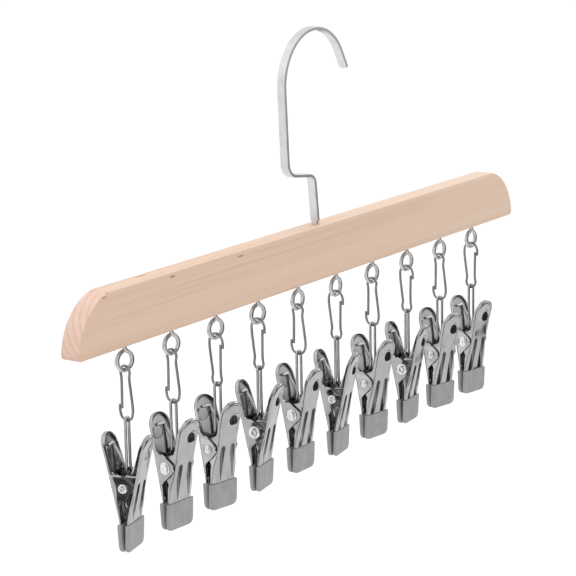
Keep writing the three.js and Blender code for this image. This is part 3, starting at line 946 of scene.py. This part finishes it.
def flute_edges(h):
    """Inner and outer edge of the long flutes, which have round tops."""
    half = between(*FLUTE_HALF, flute_share(h))
    over = (h - FLUTE_TOP + FLUTE_ROUND) / FLUTE_ROUND
    if over > 0:
        half = half * sqrt(max(1 - over * over, 0))
    middle = between(*FLUTE_PLACE, flute_share(h))
    return middle - half, middle + half


def pressed(kind, u, h, edge):
    """How deep the face is pressed in at a place that lies some way from its edge."""
    inner, outer = flute_edges(h)
    depth = between(*FLUTE_DEPTH, flute_share(h)) if h < FLUTE_TOP else 0.0
    wall = limited((abs(u) - inner) / FLUTE_WALL) * limited((outer - abs(u)) / FLUTE_WALL)
    handle = smooth_step((h - HANDLE_START) / HANDLE_BLEND)
    lip = -LIP * (1 - smooth_step((edge - CORNER) / LIP_RUN))
    crease = CREASE * exp(-(((edge - CORNER - LIP_RUN) / CREASE_WIDTH) ** 2))
    crown = HANDLE_CROWN * (u / HANDLE_HALF) ** 2
    return depth * wall + handle * (lip + crease + crown) + in_pocket(kind, u, h)


def columns_at(h, edge):
    """Places across the face at a height, with lines of points along both edges of each flute."""
    inner, outer = flute_edges(h)
    middle = (inner + outer) / 2
    half = max((outer - inner) / 2, 0.2)
    low = [0, middle - half, middle - half + FLUTE_WALL, middle + half - FLUTE_WALL, middle + half, edge]
    even = [edge * share for share in (0, 0.25, 0.4, 0.65, 0.8, 1)]
    up = smooth_step((h - FLUTE_TOP) / 4)
    knots = [between(a, b, up) for a, b in zip(low, even)]
    right = []
    for a, b, steps in zip(knots[:-1], knots[1:], (5, 2, 5, 2, 5)):
        right += [between(a, b, k / steps) for k in range(steps)]
    right.append(edge)
    return [-u for u in reversed(right[1:])] + right


def rim_at(h):
    """How far the field of the face lies inside the jaw's outer edge."""
    return between(CORNER + RIM_MARGIN, RIM, smooth_step((h - RIM_START) / RIM_BLEND))


def field_edge(kind):
    """Right edge of the field of a jaw's face as (across, height), up to its round end."""
    ear_low, ear_high = -EAR_DROP - 0.4, EAR_TOPS["rear"] + 0.6
    # Rows of points, as (from, to, step), are closest where the form turns quickly.
    ranges = [
        (-JAW_DROP, ear_low, 0.85), (ear_low, 0, 0.5), (0, 2.4, 0.15), (2.4, 3.6, 0.4), (3.6, ear_high, 0.2),
        (ear_high, 10.4, 0.5), (10.4, ROUND_PLACE - 0.1, 0.25),
    ]
    rows = [h for low, high, step in ranges for h in np.arange(low, high - step / 2, step)]
    edge = [(value_at(SIDES[kind], h) - rim_at(h), h) for h in rows]
    return edge + [spoke(a, HANDLE_HALF - RIM) + (0, ROUND_PLACE) for a in np.linspace(0, pi / 2, 15)[:-1]]


def skirt_point(kind, zone, share, place, outward):
    """A point outside the field as (across, height, depth): on the rim, the bend or the flange of a jaw."""
    (u, h), (nu, nh) = place, outward
    wide = rim_at(h) - CORNER
    if zone == "rim":
        out = wide * share
        depth = pressed(kind, u + nu * out, h + nh * out, CORNER + wide * (1 - share))
    elif zone == "bend":
        angle = share * pi / 2
        out = wide + CORNER * sin(angle)
        flat = pressed(kind, u + nu * wide, h + nh * wide, CORNER)
        depth = flat * cos(angle) + CORNER * (1 - cos(angle))
    else:
        out = wide + CORNER
        depth = between(CORNER, max(flange_depth(kind, h), CORNER + 0.05), share)
    return u + nu * out, h + nh * out, depth


def jaw_skin(kind):
    """Outer skin of a jaw: the field of its face, and rings of points out from there to the flange's edge."""
    edge = field_edge(kind)
    apex = (0.0, ROUND_PLACE + HANDLE_HALF - RIM)
    points, flat, faces = [], [], []

    def add(u, h, depth):
        points.append((u, face_at(h) - depth, h))
        flat.append((u * MM, h * MM))
        return len(points) - 1

    grid = []
    for a, h in edge:
        margin = rim_at(h) + a
        grid.append([add(u, h, pressed(kind, u, h, margin - abs(u))) for u in columns_at(h, a)])
    top = add(*apex, pressed(kind, *apex, RIM))
    for low, high in zip(grid[:-1], grid[1:]):
        for j in range(len(low) - 1):
            faces.append((low[j], high[j], high[j + 1], low[j + 1]))
    for a, b in zip(grid[-1][:-1], grid[-1][1:]):
        faces.append((a, top, b))
    # The border runs up the left side, over the top and down the right side.
    border = [(-a, h) for a, h in edge] + [apex] + edge[::-1]
    previous = [row[0] for row in grid] + [top] + [row[-1] for row in reversed(grid)]
    ahead = directions(border)
    outward = np.c_[-ahead[:, 1], ahead[:, 0]]
    outward[0], outward[len(edge)], outward[-1] = (-1, 0), (0, 1), (1, 0)
    for zone, rings in (("rim", 10), ("bend", 5), ("flange", 5)):
        for share in np.linspace(0, 1, rings + 1)[1:]:
            ring = [add(*skirt_point(kind, zone, share, *pair)) for pair in zip(border, outward)]
            for k in range(len(border) - 1):
                faces.append((previous[k], ring[k], ring[k + 1], previous[k + 1]))
            previous = ring
    return points, faces, [flat[corner] for face in faces for corner in face]


def jaw_form(kind):
    points, faces, uvs = jaw_skin(kind)
    made = build(kind + "_form", points, faces, CLIP_STEEL, uvs, 60)
    solidify = made.modifiers.new("sheet", "SOLIDIFY")
    solidify.thickness = SHEET * MM
    solidify.offset = -1
    apply_modifiers(made)
    if kind == "front":
        reach = 9
        cut(made, lathe("bore", [(RIVET + FIT, -reach), (RIVET + FIT, reach)], CLIP_STEEL, 28, "x"))
    smooth(made.data, 48)
    return made


def sleeve_form():
    """Vinyl sleeve over a jaw's tip, for a face towards +Y, with the jaw's flutes showing faintly through."""
    across, steps = 29, 7
    heights = [SLEEVE_BOTTOM + SLEEVE_CORNER * (1 - cos(a)) for a in np.linspace(0.18, pi / 2, 9)]
    heights += [*np.linspace(heights[-1] + 0.7, SLEEVE_TOP - 0.3, 14), SLEEVE_TOP - 0.1, SLEEVE_TOP]
    inner, outer = flute_edges(SLEEVE_TOP)

    def over_flutes(u):
        """One over the jaw's flutes and zero beside them."""
        sides = abs(u) - inner, outer - abs(u)
        a, b = (smooth_step((side + SINK_SOFTNESS) / (2 * SINK_SOFTNESS)) for side in sides)
        return a * b

    def rounding(away, depth, run):
        """How far the surface is drawn in at a distance from an edge."""
        return depth * max(1 - away / run, 0) ** 2

    points = []
    for h in heights:
        rise = h - SLEEVE_BOTTOM
        share = rise / (SLEEVE_TOP - SLEEVE_BOTTOM)
        thin = rounding(rise, *SLEEVE_FOOT) + rounding(SLEEVE_TOP - h, *SLEEVE_LIP)
        half = SLEEVE_HALF - SLEEVE_CORNER - 0.6 * thin
        half += sqrt(SLEEVE_CORNER**2 - (SLEEVE_CORNER - min(rise, SLEEVE_CORNER)) ** 2)
        near = between(*SLEEVE_INSIDE, share) + thin
        far = between(*SLEEVE_OUTSIDE, share) - thin
        r = SLEEVE_ROUND * (far - near)
        parting = SLEEVE_PARTING * r
        sink = SLEEVE_SINK * smooth_step((share - 0.1) / 0.7)
        edge = []
        for a in np.linspace(90, -90, steps + 2)[1:-1]:
            y = (far + near) / 2 + (far - near) / 2 * sin(rad(a))
            edge.append((half - (r if a > 0 else parting) * (1 - cos(rad(a))), y))
        outside = [(u, far - sink * over_flutes(u)) for u in np.linspace(r - half, half - r, across)]
        inside = [(u, near) for u in np.linspace(half - parting, parting - half, across)]
        section = outside + edge + inside + [(-u, y) for u, y in reversed(edge)]
        points += [(u, y, h) for u, y in section]
    faces = [tuple(reversed(face)) for face in ring_faces(len(heights), 2 * across + 2 * steps)]
    return build("sleeve_form", points, faces, VINYL, None, 50)


def rivet_end(radius):
    """Outline of a rivet's domed end as (radius, place), from its dimple outwards and down to the ear."""
    seat = JAW_HALF["rear"]
    crown, foot = seat + RIVET_DOME, seat + RIVET_FOOT
    flat = RIVET_FLAT * radius
    line = [(0.3, crown - RIVET_DIMPLE)]
    line += [(0.6 * flat, crown - 0.75 * RIVET_DIMPLE), (0.85 * flat, crown - 0.02)]
    for a in np.linspace(0, pi / 2, 9):
        line.append((between(flat, radius, sin(a)), between(foot, crown, cos(a))))
    return line + [(radius, seat + 0.05), (radius - 0.1, seat - 0.02), (RIVET, seat - 0.02)]


def rivet_form():
    """Rivet with a wide domed head and a smaller set end."""
    profile = [(r, -x) for r, x in rivet_end(RIVET_HEAD)] + rivet_end(RIVET_TAIL)[::-1]
    return lathe("rivet_form", profile, RIVET_STEEL, 40, "x")


# Clip spring.
def half_spring():
    """Half of the spring's centre line: bail and coil, and the leg."""
    half = BAIL_WIDTH / 2
    points = []
    for a in np.linspace(0, pi / 2, 9):
        points.append((half * sin(a), 0, BAIL_HEIGHT - half * (1 - cos(a))))
    for share in np.linspace(0, 1, 15)[:-1]:
        points.append((half, -COIL_RADIUS * smooth_step(share), BAIL_STRAIGHT * (1 - share)))
    steps = 24
    for i in range(int(COIL_TURNS * steps) + 1):
        points.append((half + COIL_PITCH * i / steps, *spoke(pi + 2 * pi * i / steps, COIL_RADIUS)))

    def by_handle(h):
        """Where the wire lies against the inside of the handle."""
        return face_at(h) - SHEET - FIT - SPRING_WIRE / 2

    top = LEG_PLACE - LEG_INSET
    hook = by_handle(LEG_RISE)
    leg = [
        points[-1],
        (LEG_PLACE + 0.05, COIL_RADIUS + 0.15, 2.2),
        ((LEG_PLACE + top) / 2, by_handle(LEG_MIDDLE) - LEG_STANDOFF, LEG_MIDDLE),
        (top + 0.1, by_handle(LEG_RISE - 2.2), LEG_RISE - 2.2),
        (top - 0.05, by_handle(LEG_RISE - 0.9), LEG_RISE - 0.9),
        (top - 0.75, hook, LEG_RISE - 0.1),
        (top - 2, hook, LEG_RISE),
        (top - LEG_HOOK, hook, LEG_RISE),
    ]
    return np.array(points), curve_through(leg, 8)


def spring_forms():
    points, leg = half_spring()
    mirrored = points[1:] * (-1, -1, 1)
    whole = np.vstack([mirrored[::-1], points])
    body = tube("spring_form", whole, SPRING_WIRE, WIRE_STEEL, 12, (0, 1, 0), ())
    return body, tube("leg_form", leg, SPRING_WIRE, PAINTED_LIGHT_LEG_STEEL, 12, (0, 1, 0))


def hang_units():
    half_turn = Matrix.Rotation(pi, 4, "Z")
    eye = eye_form()
    links = {side: link_form(side) for side in (False, True)}
    jaws = {kind: jaw_form(kind) for kind in ("rear", "front")}
    sleeve, rivet = sleeve_form(), rivet_form()
    spring, leg = spring_forms()
    for i in range(UNITS):
        n = "%02d" % (i + 1)
        x = unit_place(i)
        ring = shifted(x, UNDER, EYE_TURNS[i] + EYE_TWIST)
        link = shifted(x, UNDER, EYE_TURNS[i])
        clip = shifted(x, UNDER + PIVOT, CLIP_TURNS[i])
        front = clip @ half_turn
        put(twin(eye, "eye_" + n), ring, "bar", "wire_steel", "screw_eye_" + n)
        put(twin(links[LATCH_UP[i]], "link_" + n), link, "link_" + n, "wire_steel", "snap_link_" + n)
        put(twin(spring, "spring_" + n), clip, "clip_" + n, "wire_steel", "clip_spring_" + n)
        for kind, place in (("rear", clip), ("front", front)):
            body = kind + "_jaw_" + n
            put(twin(jaws[kind], kind + "_plate_" + n), place, body, "clip_steel", body)
            put(twin(sleeve, kind + "_sleeve_" + n), place, body, "sleeve")
            wire = twin(leg, kind + "_leg_" + n)
            wire.data.transform(place)
            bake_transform(wire)
        put(twin(rivet, "rivet_" + n), front if RIVET_TURNED[i] else clip, "rear_jaw_" + n, "clip_steel")
    for form in [eye, sleeve, rivet, spring, leg, *links.values(), *jaws.values()]:
        bpy.data.objects.remove(form)


bar_piece()
strip_piece()
swivel_pieces()
hang_units()

# Stage: a pale floor well below, a white world, soft lamps, and dark cards that only reflections see.
# The camera looks along an azimuth from +Y towards +X and down by its elevation. Its distances are in mm.
CAMERA_AZIMUTH = 55.18
CAMERA_ELEVATION = 12.82
CAMERA_ROLL = -1.25
CAMERA_DISTANCE = 1022.8
CAMERA_ACROSS = -12.87
CAMERA_UP = -17.16
CAMERA_LENS = 139.16
# The floor, in metres.
FLOOR_RADIUS = 30.0
FLOOR_DROP = 0.30
FLOOR_SIDES = 48
# Lamps: name, place and aim in metres, diameter and power.
MIDDLE = (0, 0, -SEAT * MM)
LAMPS = [
    ("key", (-1.1, 0.55, 1.35), MIDDLE, 2.6, 4.3),
    ("top", (0.35, 0.15, 1.70), MIDDLE, 1.6, 1.8),
    ("right", (1.15, -0.35, 0.55), MIDDLE, 0.7, 2.4),
    ("left", (-0.80, 1.05, -0.25), (0, 0, -0.17), 0.48, 0.2),
    ("front", (-0.55, -1.25, 0.35), MIDDLE, 0.9, 1.3),
]
# Cards, in metres: name, azimuths of both sides, heights of both lower corners and of the top, and the shares
# over which the left, right, lower and upper edges fade.
FLAG_RADIUS = 0.75
FLAG_TONE = 0.04
LEVEL_FOOT = (-0.50, -0.50)
FLAGS = [
    ("front_flag", (84, 170), (-0.455, -0.50), -0.10, (0.05, 0.12, 0.08, 0.5)),
    ("low_flag", (108, 152), LEVEL_FOOT, -0.42, (0.25, 0.2, 0.02, 0.4)),
    ("side_flag", (150, 212), LEVEL_FOOT, 0.85, (0.3, 0.12, 0.05, 0.16)),
    ("left_flag", (257, 282), LEVEL_FOOT, 0.60, (0.2, 0.1, 0.05, 0.2)),
    ("back_left_flag", (338, 388), LEVEL_FOOT, -0.14, (0.15, 0.15, 0.05, 0.25)),
    ("back_right_flag", (42, 84), LEVEL_FOOT, -0.14, (0.15, 0.1, 0.05, 0.25)),
]


def add_camera():
    az, el, roll = rad(CAMERA_AZIMUTH), rad(CAMERA_ELEVATION), rad(CAMERA_ROLL)
    ahead = Vector((sin(az) * cos(el), cos(az) * cos(el), -sin(el)))
    level = Vector((cos(az), -sin(az), 0))
    upright = level.cross(ahead)
    right = level * cos(roll) + upright * sin(roll)
    up = upright * cos(roll) - level * sin(roll)
    aim = Vector((0, 0, -SEAT - BAR_HEIGHT / 2))
    place = (aim + right * CAMERA_ACROSS + up * CAMERA_UP - ahead * CAMERA_DISTANCE) * MM
    camera = add_object("camera", bpy.data.cameras.new("camera"))
    camera.data.lens = CAMERA_LENS
    camera.data.sensor_width = 36
    camera.data.clip_end = 50
    camera.matrix_world = Matrix.Translation(place) @ Matrix((right, up, -ahead)).transposed().to_4x4()
    bpy.context.scene.camera = camera


def seen_directly(tree):
    """One for rays from the camera and for reflections, and zero for the rays that light the object."""
    path = node(tree, "LightPath")
    shown = maths(tree, "MAXIMUM", path.outputs["Is Camera Ray"], path.outputs["Is Glossy Ray"])
    return maths(tree, "MAXIMUM", shown, path.outputs["Is Transmission Ray"])


def add_world():
    world = bpy.data.worlds.new("studio")
    bpy.context.scene.world = world
    world.use_nodes = True
    tree = world.node_tree
    tree.nodes.clear()
    ambient = node(tree, "Background", {"Color": (0.97, 0.985, 1.0), "Strength": 0.86})
    white = node(tree, "Background", {"Color": grey(1), "Strength": 1.0})
    node(tree, "OutputWorld", {"Surface": mix_shaders(tree, seen_directly(tree), ambient, white)})


def floor_material():
    made, tree, shader = material("pale_floor")
    feed(tree, shader, {"Base Color": grey(0.60), "Roughness": 0.9, "Specular IOR Level": 0.1})
    glow = node(tree, "Emission", {"Color": grey(1), "Strength": 0.50})
    both = node(tree, "AddShader", {0: shader.outputs[0], 1: glow.outputs[0]})
    surface = mix_shaders(tree, seen_directly(tree), shader, both)
    feed(tree, tree.nodes["Material Output"], {"Surface": surface})
    return made


def add_floor():
    low = cad_box[0].z - FLOOR_DROP
    points = [(*spoke(2 * pi * k / FLOOR_SIDES, FLOOR_RADIUS), low) for k in range(FLOOR_SIDES)]
    floor = build("floor", np.array(points) / MM, [tuple(range(FLOOR_SIDES))], floor_material())


def add_lamp(name, place, aim, size, power):
    lamp = bpy.data.lights.new(name, "AREA")
    lamp.shape = "DISK"
    lamp.size = size
    lamp.energy = power
    made = add_object(name, lamp)
    made.visible_camera = False
    made.location = place
    made.rotation_mode = "QUATERNION"
    made.rotation_quaternion = (Vector(aim) - Vector(place)).to_track_quat("-Z", "Y")


def flag_material(name, soft):
    """Dark where the card is, and clear beyond its soft edges."""
    made, tree, shader = material(name + "_cloth")
    tree.nodes.remove(shader)
    left, right, lower, upper = soft
    place = node(tree, "TexCoord").outputs["UV"]
    across, up = part_of(tree, place, "X"), part_of(tree, place, "Y")
    sides = maths(tree, "MULTIPLY", span(tree, across, 0.0, left), span(tree, across, 1.0, 1 - right))
    ends = maths(tree, "MULTIPLY", span(tree, up, 0.0, lower), span(tree, up, 1.0, 1 - upper))
    dark = node(tree, "Emission", {"Color": grey(FLAG_TONE), "Strength": 1.0})
    clear = node(tree, "BsdfTransparent")
    surface = mix_shaders(tree, maths(tree, "MULTIPLY", sides, ends), clear, dark)
    feed(tree, tree.nodes["Material Output"], {"Surface": surface})
    return made


def add_flag(name, azimuths, feet, top, soft):
    """A dark card, curved round the upright axis through the part."""
    columns, rows = 24, 8
    points, places, faces = [], [], []
    for i in range(rows + 1):
        for j in range(columns + 1):
            share = j / columns
            y, x = spoke(rad(between(*azimuths, share)), FLAG_RADIUS)
            points.append((x, y, between(between(*feet, share), top, i / rows)))
            places.append((share, i / rows))
    for i in range(rows):
        for j in range(columns):
            a = i * (columns + 1) + j
            faces.append((a, a + 1, a + columns + 2, a + columns + 1))
    uvs = [places[corner] for face in faces for corner in face]
    flag = build(name, np.array(points) / MM, faces, flag_material(name, soft), uvs)
    for ray in ("camera", "diffuse", "transmission", "volume_scatter", "shadow"):
        setattr(flag, "visible_" + ray, False)


add_camera()
add_world()
add_floor()
for lamp_settings in LAMPS:
    add_lamp(*lamp_settings)
for flag_settings in FLAGS:
    add_flag(*flag_settings)

bpy.context.scene.view_settings.view_transform = "Standard"
